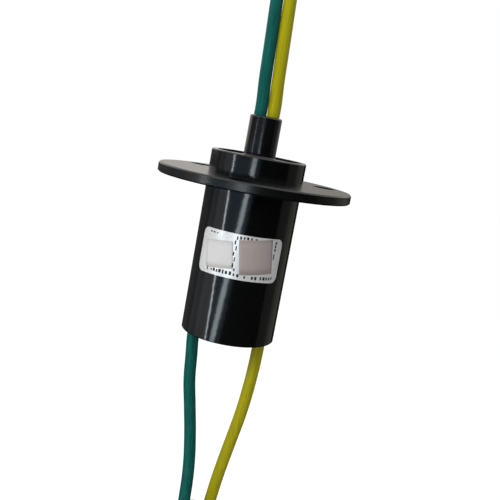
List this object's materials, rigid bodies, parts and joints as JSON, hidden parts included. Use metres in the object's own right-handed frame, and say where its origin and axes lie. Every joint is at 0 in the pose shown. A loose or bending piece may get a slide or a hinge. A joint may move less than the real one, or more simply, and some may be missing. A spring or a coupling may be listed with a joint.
{
  "type": "slip ring",
  "caption": "Flanged capsule slip ring: a black tube with a round mounting flange and collar, a turning rotor with an outlet sleeve, and free leads at both ends.",
  "frame": {"origin": "centre of the flange's seat, its underside, on the spin axis", "axes": "+Z along the spin axis, out of the collar towards the rotor leads; -Y towards the label"},
  "size_m": [0.0448, 0.0604, 0.2041],
  "materials": {
    "housing_plastic": "gloss moulded black",
    "rotor_plastic": "satin moulded black",
    "label_film": "printed polyester film, satin",
    "bearing_steel": "ground",
    "cage_brass": "satin",
    "spring_steel": "phosphated",
    "contact_gold": "gold plated, polished",
    "spacer_nylon": "natural nylon",
    "glass_laminate": "solder mask",
    "copper": "bare copper",
    "solder": "solder tinned",
    "potting_resin": "cast epoxy",
    "tie_nylon": "moulded nylon",
    "green_lead": "extruded soft vinyl",
    "yellow_lead": "extruded soft vinyl"
  },
  "bodies": {
    "stator": {"housing": "housing_plastic", "end_cap": "housing_plastic", "label": "label_film", "front_outer_ring": "bearing_steel", "rear_outer_ring": "bearing_steel", "green_brush_board": "glass_laminate", "yellow_brush_board": "glass_laminate", "green_track": "copper", "yellow_track": "copper", "green_brushes": "contact_gold", "yellow_brushes": "contact_gold", "solder_joints": "solder", "green_stator_tail": "green_lead", "yellow_stator_tail": "yellow_lead", "green_stator_core": "copper", "yellow_stator_core": "copper", "green_stator_lead": "green_lead", "yellow_stator_lead": "yellow_lead", "green_stator_hank": "green_lead", "yellow_stator_hank": "yellow_lead", "stator_wire_ends": "solder", "stator_lead_tie": "tie_nylon"},
    "rotor": {"rotor_shaft": "rotor_plastic", "bearing_circlip": "spring_steel", "stack_circlip": "spring_steel", "front_inner_ring": "bearing_steel", "rear_inner_ring": "bearing_steel", "upper_contact_ring": "contact_gold", "lower_contact_ring": "contact_gold", "upper_spacer": "spacer_nylon", "middle_spacer": "spacer_nylon", "lower_spacer": "spacer_nylon", "sleeve_potting": "potting_resin", "green_rotor_tail": "green_lead", "yellow_rotor_tail": "yellow_lead", "green_rotor_core": "copper", "yellow_rotor_core": "copper", "green_rotor_lead": "green_lead", "yellow_rotor_lead": "yellow_lead", "green_rotor_hank": "green_lead", "yellow_rotor_hank": "yellow_lead", "rotor_wire_ends": "solder", "rotor_lead_tie": "tie_nylon"},
    "front_bearing_cage": {"front_cage": "cage_brass", "front_balls": "bearing_steel"},
    "rear_bearing_cage": {"rear_cage": "cage_brass", "rear_balls": "bearing_steel"}
  },
  "joints": [
    {"name": "rotor_spin", "type": "hinge", "parent": "stator", "child": "rotor", "pos_m": [0, 0, 0.0029], "axis": [0, 0, 1], "continuous": true},
    {"name": "front_cage_spin", "type": "hinge", "parent": "stator", "child": "front_bearing_cage", "pos_m": [0, 0, 0.0029], "axis": [0, 0, 1], "continuous": true},
    {"name": "rear_cage_spin", "type": "hinge", "parent": "stator", "child": "rear_bearing_cage", "pos_m": [0, 0, -0.0319], "axis": [0, 0, 1], "continuous": true}
  ],
  "couplings": [
    {"joint": "front_cage_spin", "follows": "rotor_spin", "ratio": 0.41667},
    {"joint": "rear_cage_spin", "follows": "rotor_spin", "ratio": 0.41429}
  ]
}
